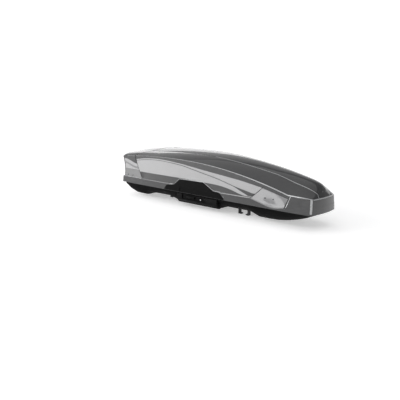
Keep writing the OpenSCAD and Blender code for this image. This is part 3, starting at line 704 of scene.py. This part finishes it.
def make_lid():
    """The outer and the inner skin of the lid, joined round the lower edge."""
    outer, inner = lid_vertices(0, 1), lid_vertices(LID_T, 0)
    n = len(outer)
    faces, indices = [], []

    def add(face, index):
        faces.append(face)
        indices.append(index)

    def side_index(i):
        """The side column left of ring edge i, or None on an end face."""
        if i < SIDE_N:
            return i
        if SIDE_N + END_N <= i < 2 * SIDE_N + END_N:
            return 2 * SIDE_N + END_N - 1 - i
        return None

    for r in range(ROW_N - 1):
        for i in range(RING_N):
            a, b = r * RING_N + i, r * RING_N + (i + 1) % RING_N
            column = side_index(i)
            # The top rows of the nose end get a painted highlight.
            index = PAINTED_HIGHLIGHT if r >= ROW_N - 3 and SIDE_N <= i < SIDE_N + END_N else PAINT
            if column is not None:
                index = wall_material(r, column)
            add((a, b, b + RING_N, a + RING_N), index)
            add((n + a, n + a + RING_N, n + b + RING_N, n + b), INNER)
    ring, grid = (ROW_N - 1) * RING_N, ROW_N * RING_N
    for i in range(SIDE_N):
        for j in range(END_N):
            q = [grid_index(i, j, ring, grid), grid_index(i + 1, j, ring, grid),
                 grid_index(i + 1, j + 1, ring, grid), grid_index(i, j + 1, ring, grid)]
            c = i - ARC
            add(tuple(q), roof_material(c, min(j, END_N - 1 - j)))
            add(tuple(n + v for v in q[::-1]), INNER)
    for i in range(RING_N):
        j = (i + 1) % RING_N
        add((i, n + i, n + j, j), PAINT)
    mesh = bpy.data.meshes.new("lid_shell_paint")
    mesh.from_pydata((np.vstack([outer, inner]) * MM).tolist(), [], faces)
    for k in ("lid_paint", "lid_paint_painted_reflection", "lid_groove_painted_shade", "lid_inner", "lid_painted_highlight"):
        mesh.materials.append(MATERIALS[k])
    mesh.polygons.foreach_set("material_index", np.array(indices, np.int32))
    mesh.polygons.foreach_set("use_smooth", np.ones(len(mesh.polygons), bool))
    mesh.update()
    return give(add_object("lid_shell_paint", mesh), "lid", ["lid_shell"])


lid_paint = make_lid()

# ---- Pieces in the frame of a side -----------------------------------------------------------

COS, SIN = math.cos(math.atan(TAPER)), math.sin(math.atan(TAPER))


def side_point(side, x0, x, y, z):
    """A point x along a side from x0, y inward and z up, as a row-frame point in millimetres."""
    px, py = x0 + x * COS - y * SIN, -side_y(x0) + x * SIN + y * COS
    return (px, -py if side > 0 else py, z)


def prism(name, outline, y_of, depth, side, mat, inner=None, step=0.0):
    """A plate at a lock: its front follows y_of(x, z), and inner is the edge of a recess."""
    bm = bmesh.new()

    def ring(points, back):
        return [bm.verts.new(side_point(side, HOUSING_X, x, y_of(x, z) + back, z)) for x, z in points]

    front, rear = ring(outline, 0), ring(outline, depth)
    join(bm, front, rear)
    bm.faces.new(rear)
    if inner:
        rim, low = ring(inner, 0), ring(inner, step)
        edges = [bm.edges.new(pair) for pair in around(rim)]
        edges += [bm.edges.get(pair) for pair in around(front)]
        bmesh.ops.triangle_fill(bm, edges=edges, use_beauty=True)
        join(bm, rim, low)
        bm.faces.new(low)
    else:
        bm.faces.new(front)
    close_mesh(bm, MM)
    return mesh_object(name, bm, mat)


def round_edges(obj, width, segments=3):
    bevel = obj.modifiers.new("edges", "BEVEL")
    bevel.width = width * MM
    bevel.segments = segments
    bevel.limit_method = "ANGLE"
    bevel.angle_limit = math.radians(32)
    bevel.harden_normals = True


# Outlines of the handle panel, its recess and the bead round it, along the side and above the
# lid's lower edge.
PANEL_EDGE = [(-337, 2), (-307, 42), (-224, 54), (-173, 101), (65, 107), (168, 53), (229, 53),
              (280, 2)]
PANEL_RECESS = [(-168, 7), (-168, 36), (-150, 43), (25, 50), (60, 44), (112, 13), (108, 7)]
BEAD = [(-341, 14), (-313, 46), (-228, 59), (-177, 106), (67, 112), (170, 58), (232, 58), (279, 14)]


def soften(outline, radius, steps=4):
    """The outline with each corner drawn as a short curve."""
    out = []
    pts = [np.array(p, float) for p in outline]
    for k, p in enumerate(pts):
        a, b = pts[k - 1] - p, pts[(k + 1) % len(pts)] - p
        ra, rb = (min(radius, np.linalg.norm(v) * 0.4) for v in (a, b))
        p0, p1 = p + a / np.linalg.norm(a) * ra, p + b / np.linalg.norm(b) * rb
        for n in range(steps + 1):
            t = n / steps
            out.append(tuple((1 - t) ** 2 * p0 + 2 * t * (1 - t) * p + t * t * p1))
    return out


def panel_front(x, z):
    """How far inward the front of the handle panel lies, the same all along it."""
    return float(np.interp(z - EDGE_Z, [0, 50, 112], [-4.4, -3, 3.2]))


def handle_panel(side, word):
    """The black panel of the lid, with a shallow recess."""
    lift = [(x, EDGE_Z + z) for x, z in soften(PANEL_EDGE, 9)]
    recess = [(x, EDGE_Z + z) for x, z in soften(PANEL_RECESS, 6)]
    obj = prism("handle_panel_" + word, lift, panel_front, 6, side, "trim_black", recess, 2.6)
    round_edges(obj, 1.3)
    give(obj, "lid", ["handle_panel_" + word])


def sweep(name, path, profile, side, mat):
    """A strip at a lock with a section of (outward, across) points along a path of (x, y, z)."""
    pts = np.array(path, float)
    n = len(pts)
    bm = bmesh.new()
    rings = []
    for k in range(n):
        a = pts[k - 1] if k else pts[0]
        b = pts[k + 1] if k < n - 1 else pts[-1]
        d = (b - a)[[0, 2]]
        dx, dz = d / np.linalg.norm(d)
        ring = []
        for out, over in profile:
            x, z = pts[k][0] - dz * over, pts[k][2] + dx * over
            ring.append(bm.verts.new(side_point(side, HOUSING_X, x, pts[k][1] - out, z)))
        rings.append(ring)
    for a, b in zip(rings, rings[1:]):
        join(bm, a, b)
    bm.faces.new(rings[0])
    bm.faces.new(rings[-1][::-1])
    close_mesh(bm, MM)
    return mesh_object(name, bm, mat)


def lid_front(z):
    """How far inward the lid's side lies at a height above its lower edge, near the handle."""
    return float(np.interp(z, [0, 50, 53, 112], [0, 2, 5, 8]))


def panel_bead(side, word):
    """The thin raised rim that the lid has round the handle panel, in the pale colour of a painted
    highlight.
    """
    path = [(x, lid_front(z) + 0.3, EDGE_Z + z) for x, z in soften(BEAD, 8)[4:-4]]
    profile = [(-1, -2.2), (0.9, -1.6), (1.9, 0), (0.9, 1.6), (-1, 2.2)]
    obj = sweep("panel_bead_" + word, path, profile, side, "lid_painted_highlight")
    give(obj, "lid", [])


def box_outline(x0, x1, z0, z1):
    return [(x0, z0), (x0, z1), (x1, z1), (x1, z0)]


def slide_lever(side, word):
    """The front of the sliding grip: a plate with a finger scoop, and ribs."""
    plate = soften(box_outline(-120, -20, 76, 98), 5)
    scoop = soften(box_outline(-112, -62, 80, 94), 3)
    grip = prism("slide_grip_" + word, plate, lambda x, z: 6.2, 6, side, "trim_black", scoop, 2.4)
    round_edges(grip, 1.0)
    give(grip, "lock_" + word, [])
    pitch, width = 5, 2.2
    for k in range(7):
        x = -54 + pitch * k
        outline = soften(box_outline(x, x + width, 79, 95), 1)
        rib = prism(f"grip_rib_{word}_{k}", outline, lambda x, z: 5.2, 2, side, "trim_black")
        round_edges(rib, 0.4, 2)
        give(rib, "lock_" + word, [])


def turned(name, profile, side, mat, sides=36):
    """A round piece about the key's axis, from the (radius, depth) steps of its profile."""
    bm = bmesh.new()
    turns = [2 * math.pi * k / sides for k in range(sides)]
    rings = []
    for radius, depth in profile:
        circle = [(KEY_X + radius * math.cos(a), KEY_Z + radius * math.sin(a)) for a in turns]
        rings.append([bm.verts.new(side_point(side, HOUSING_X, x, depth, z)) for x, z in circle])
    for a, b in zip(rings, rings[1:]):
        join(bm, a, b)
    bm.faces.new(rings[0])
    bm.faces.new(rings[-1])
    close_mesh(bm, MM)
    return mesh_object(name, bm, mat)


KEY_COLLAR = [(5.4, 9.4), (5.4, 8.4), (5.9, 8), (8.6, 8), (9, 8.4), (9, 21), (5.4, 21)]
KEY_FACE = [(1.2, 9.6), (1.4, 8.5), (4.6, 8.4), (5.2, 9), (5.2, 20.5), (1.2, 20.5)]
# Shaft and cam: x and z limits from the key's axis, depths and the radius of the corners.
KEY_BARS = {"shaft": ((-4, 4, -4, 4), 20.4, 42, 3.2), "cam": ((0, 15.5, -3, 3), 38, 42, 1)}


def key_cylinder(side, word):
    """A black collar, a bright turned face with a hole for the key, the shaft and the cam."""
    body = "key_" + word
    collar = turned("key_collar_" + word, KEY_COLLAR, side, "trim_black")
    round_edges(collar, 0.2, 2)
    give(collar, body, ["key_cylinder_" + word])
    face = turned("key_face_" + word, KEY_FACE, side, "key_metal")
    round_edges(face, 0.15, 2)
    give(face, body, [])
    for name, (limits, front, rear, radius) in KEY_BARS.items():
        outline = soften([(KEY_X + x, KEY_Z + z) for x, z in box_outline(*limits)], radius, 6)
        part = prism(f"key_{name}_{word}", outline, lambda x, z, y=front: y, rear - front, side,
                     "key_metal")
        round_edges(part, 0.3, 2)
        give(part, body, [])


for side_sign, side_word in SIDES:
    key_cylinder(side_sign, side_word)
    handle_panel(side_sign, side_word)
    panel_bead(side_sign, side_word)
    slide_lever(side_sign, side_word)

# ---- Rivets ----------------------------------------------------------------------------------

# Radius and height steps, from the tail inside the lid to the top of the head.
RIVET = [(0, -6.2), (3.6, -6.2), (4.2, -5.7), (4.2, -4.3), (2.6, -4), (2.6, -1.4), (5.6, -1),
         (5.6, 0.6), (5.1, 1.4), (3.7, 2.1), (1.9, 2.5), (0, 2.6)]
RIVET_SIDES = 32
SIDE_RIVETS = ((547, 73), (615, 73), (-849, 67), (-793, 67))
NOSE_RIVET_X, NOSE_RIVET_Y, NOSE_RIVET_Z, NOSE_RIVET_TILT = 920, 20, 154.5, math.radians(70)


def rivet_places():
    """A start point outside the lid and a direction toward it, for each rivet."""
    places = []
    for side, word in SIDES:
        for x, z in SIDE_RIVETS:
            near, far = (Vector(side_point(side, x, 0, y, EDGE_Z + z)) for y in (-40, 60))
            places.append((near, (far - near).normalized()))
        out = Vector((math.sin(NOSE_RIVET_TILT), 0, math.cos(NOSE_RIVET_TILT)))
        point = Vector((NOSE_RIVET_X, side * NOSE_RIVET_Y, EDGE_Z + NOSE_RIVET_Z))
        places.append((point + out * 40, -out))
    return places


def rivets(lid):
    """Domed heads that sit on the lid's surface, each with its shank and tail inside."""
    tree = BVHTree.FromObject(lid, bpy.context.evaluated_depsgraph_get())
    bm = bmesh.new()
    for start, way in rivet_places():
        hit, normal, _, _ = tree.ray_cast(start * MM, way, 0.1)
        turn = normal.to_track_quat("Z", "Y")
        rings = []
        for radius, height in RIVET:
            count = RIVET_SIDES if radius else 1
            turns = [2 * math.pi * k / count for k in range(count)]
            circle = [Vector((radius * math.cos(a), radius * math.sin(a), height)) for a in turns]
            rings.append([bm.verts.new(hit + turn @ (v * MM)) for v in circle])
        for a, b in zip(rings, rings[1:]):
            for k in range(RIVET_SIDES):
                m = (k + 1) % RIVET_SIDES
                corners = [a[k % len(a)], a[m % len(a)], b[m % len(b)], b[k % len(b)]]
                bm.faces.new(list(dict.fromkeys(corners)))
    close_mesh(bm, 1)
    give(mesh_object("rivet_heads", bm, "rivet_black"), "lid", ["shell_rivets"])


rivets(lid_paint)

# ---- Other CAD pieces, with rounded edges -----------------------------------------------------

BODY_OF = {n: b for b, ns in frame["record"]["behaviour"]["bodies"].items() for n in ns}
SLOT_OF = {p["node"]: p["material_slot"] for p in frame["record"]["subparts"]}


def refine(node, width):
    """A copy of a CAD node with its flat faces joined and its edges rounded."""
    bm = bmesh.new()
    bm.from_mesh(frame["nodes"][node].data)
    bmesh.ops.remove_doubles(bm, verts=bm.verts, dist=1e-6)
    bmesh.ops.dissolve_limit(bm, angle_limit=math.radians(0.5), verts=bm.verts, edges=bm.edges)
    obj = mesh_object(node + "_detail", bm, SLOT_OF[node])
    round_edges(obj, width, 2)
    give(obj, BODY_OF[node], [node])


# Radius of the rounded edges of each finish, in millimetres.
WIDTHS = {"rubber": 0.5, "webbing": 0.4, "aluminium": 0.5, "steel": 0.6, "key_metal": 0.5,
          "clamp_plastic": 2.0, "jaw_metal": 1.5, "knob_plastic": 1.2, "trim_black": 1.2,
          "rivet_black": 0.9}
REPLACED = ("lid_shell", "handle_panel", "key_cylinder", "shell_rivets")
for node in frame["nodes"]:
    if not node.startswith(REPLACED):
        refine(node, WIDTHS.get(SLOT_OF[node], 0.8))

# ---- Stage, lights and camera ---------------------------------------------------------------

def direction(azimuth, elevation):
    """Unit vector toward an azimuth, 0 being the right side, and an elevation, in degrees."""
    a, e = math.radians(azimuth), math.radians(elevation)
    return Vector((math.sin(a) * math.cos(e), -math.cos(a) * math.cos(e), math.sin(e)))


def plain(name, colour, rough, glow):
    """A plain stage finish with a little light of its own."""
    m = bpy.data.materials.new(name)
    m.use_nodes = True
    b = m.node_tree.nodes["Principled BSDF"]
    b.inputs["Base Color"].default_value = (*colour, 1)
    b.inputs["Roughness"].default_value = rough
    b.inputs["Specular IOR Level"].default_value = 0.2
    b.inputs["Emission Color"].default_value = (1, 1, 1, 1)
    b.inputs["Emission Strength"].default_value = glow
    return m


def make_stage():
    """A pale floor that curves up into a low round backdrop, which is a little brighter."""
    profile = [(0.02, 0), (3, 0), (8, 0), (13, 0), (15, 0.15), (16.5, 0.7), (17.2, 1.6), (17.5, 2.9),
               (17.6, 5)]
    flat, turns = 3, 96
    vertices = [(r * math.cos(a), r * math.sin(a), z) for r, z in profile
                for a in (2 * math.pi * k / turns for k in range(turns))]
    faces = [(a * turns + k, a * turns + (k + 1) % turns, (a + 1) * turns + (k + 1) % turns,
              (a + 1) * turns + k) for a in range(len(profile) - 1) for k in range(turns)]
    backdrop = range(flat * turns, len(faces))
    faces.append(tuple(range(turns)))
    mesh = bpy.data.meshes.new("floor")
    mesh.from_pydata(vertices, [], faces)
    mesh.polygons.foreach_set("use_smooth", np.ones(len(mesh.polygons), bool))
    mesh.materials.append(plain("floor_pale", (0.85, 0.85, 0.85), 0.7, 0.42))
    mesh.materials.append(plain("backdrop_pale", (0.85, 0.85, 0.85), 0.7, 0.6))
    mesh.polygons.foreach_set("material_index", [int(k in backdrop) for k in range(len(faces))])
    add_object("floor", mesh)


TARGET = Vector((0, 0, 0.25))


def softbox(name, azimuth, elevation, distance, width, height, power):
    """A soft rectangular light that faces the box."""
    light = bpy.data.lights.new(name, "AREA")
    light.shape = "RECTANGLE"
    light.size, light.size_y = width, height
    light.energy = power
    obj = bpy.data.objects.new(name, light)
    bpy.context.scene.collection.objects.link(obj)
    obj.location = TARGET + direction(azimuth, elevation) * distance
    obj.rotation_mode = "QUATERNION"
    obj.rotation_quaternion = (TARGET - obj.location).to_track_quat("-Z", "Y")
    obj.visible_camera = False


make_stage()
sun = bpy.data.lights.new("overhead", "SUN")
sun.energy = 1.2
sun.angle = math.radians(100)
sun_obj = bpy.data.objects.new("overhead", sun)
bpy.context.scene.collection.objects.link(sun_obj)
sun_obj.rotation_mode = "QUATERNION"
sun_obj.rotation_quaternion = (-direction(-20, 68)).to_track_quat("-Z", "Y")
softbox("low_light", -33.5, 5.5, 5.0, 3.2, 0.95, 42)
softbox("edge_light", -33.5, 30, 5.0, 3.0, 1.2, 60)
softbox("rear_sheen", 224, 30, 8.0, 10.0, 5.0, 52)
world = bpy.data.worlds.new("studio")
world.use_nodes = True
world.node_tree.nodes["Background"].inputs[0].default_value = (0.22, 0.22, 0.224, 1)
world.node_tree.nodes["Background"].inputs[1].default_value = 1.0
bpy.context.scene.world = world
bpy.context.scene.view_settings.view_transform = "Standard"

camera_data = bpy.data.cameras.new("camera")
camera = bpy.data.objects.new("camera", camera_data)
bpy.context.scene.collection.objects.link(camera)
# The camera, fitted in a frame at the lid's lower edge in which the box is pitched a little.
PITCH = math.radians(0.32031)
VIEW_AZIMUTH, VIEW_ELEVATION = 44.443054, 13.479359
tilt = Matrix.Rotation(-PITCH, 4, "Y")
back = direction(VIEW_AZIMUTH, VIEW_ELEVATION)
right = direction(VIEW_AZIMUTH + 90, 0)
up = back.cross(right)
place = Vector((3.4625404, -3.8372519, 1.1693430))
pose = Matrix((
    (right.x, up.x, back.x, place.x), (right.y, up.y, back.y, place.y),
    (right.z, up.z, back.z, place.z), (0, 0, 0, 1)))
camera.matrix_world = Matrix.Translation((0, 0, EDGE_Z * MM)) @ tilt @ pose
camera_data.lens = 58.967
camera_data.sensor_width = 36
camera_data.clip_end = 100
bpy.context.scene.camera = camera
